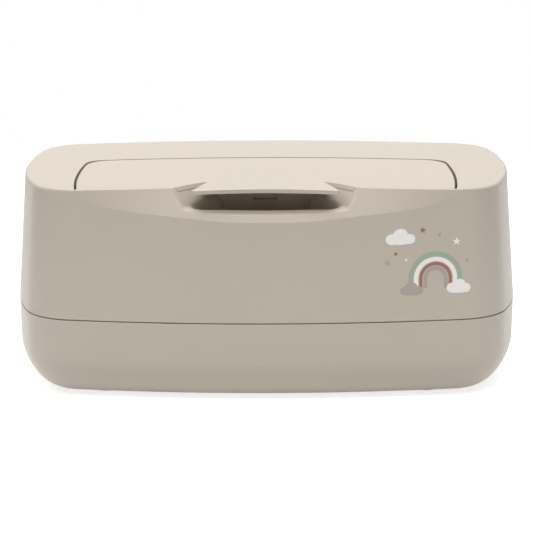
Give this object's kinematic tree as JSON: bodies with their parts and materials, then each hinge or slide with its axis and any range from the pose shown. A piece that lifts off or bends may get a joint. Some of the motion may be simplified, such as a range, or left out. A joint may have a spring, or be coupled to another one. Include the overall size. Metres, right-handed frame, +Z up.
{
  "type": "baby wipes box",
  "caption": "Low oblong wipes box: rounded tray, drafted cover with slanted front facet, finger scoop, flush flip lid over a slotted insert, and a weighted press plate inside.",
  "frame": {"origin": "centre of the footprint, on the surface that the four pads stand on", "axes": "+X to the right along the box's length, -Y towards the finger scoop at the front, +Z up"},
  "size_m": [0.238, 0.13, 0.1009],
  "materials": {
    "cover_plastic": "fine-grained satin moulding, warm sand grey",
    "lid_plastic": "fine-grained satin moulding, warm sand grey",
    "tray_plastic": "fine-grained satin moulding, warm sand grey",
    "inner_plastic": "satin off-white moulding",
    "silicone": "soft matte silicone",
    "pad_rubber": "matte rubber",
    "steel": "drawn steel"
  },
  "bodies": {
    "tray": {"base_tray": "tray_plastic", "tray_seal": "silicone", "foot_pads": "pad_rubber"},
    "cover": {"top_cover": "cover_plastic", "slot_insert": "silicone", "hinge_pin_left": "steel", "hinge_pin_right": "steel"},
    "flip_lid": {"lid": "lid_plastic", "lid_panel": "inner_plastic", "lid_seal": "silicone"},
    "press": {"press_plate": "inner_plastic", "plate_weights": "steel", "plate_cap": "inner_plastic"}
  },
  "joints": [
    {"name": "cover_lift", "type": "slide", "parent": "tray", "child": "cover", "axis": [0, 0, 1], "range_m": [0, 0.08]},
    {"name": "lid_hinge", "type": "hinge", "parent": "cover", "child": "flip_lid", "pos_m": [0, 0.006, 0.0985], "axis": [-1, 0, 0], "range_deg": [0, 95]},
    {"name": "press_slide", "type": "slide", "parent": "tray", "child": "press", "axis": [0, 0, 1], "range_m": [0, 0.055]}
  ]
}
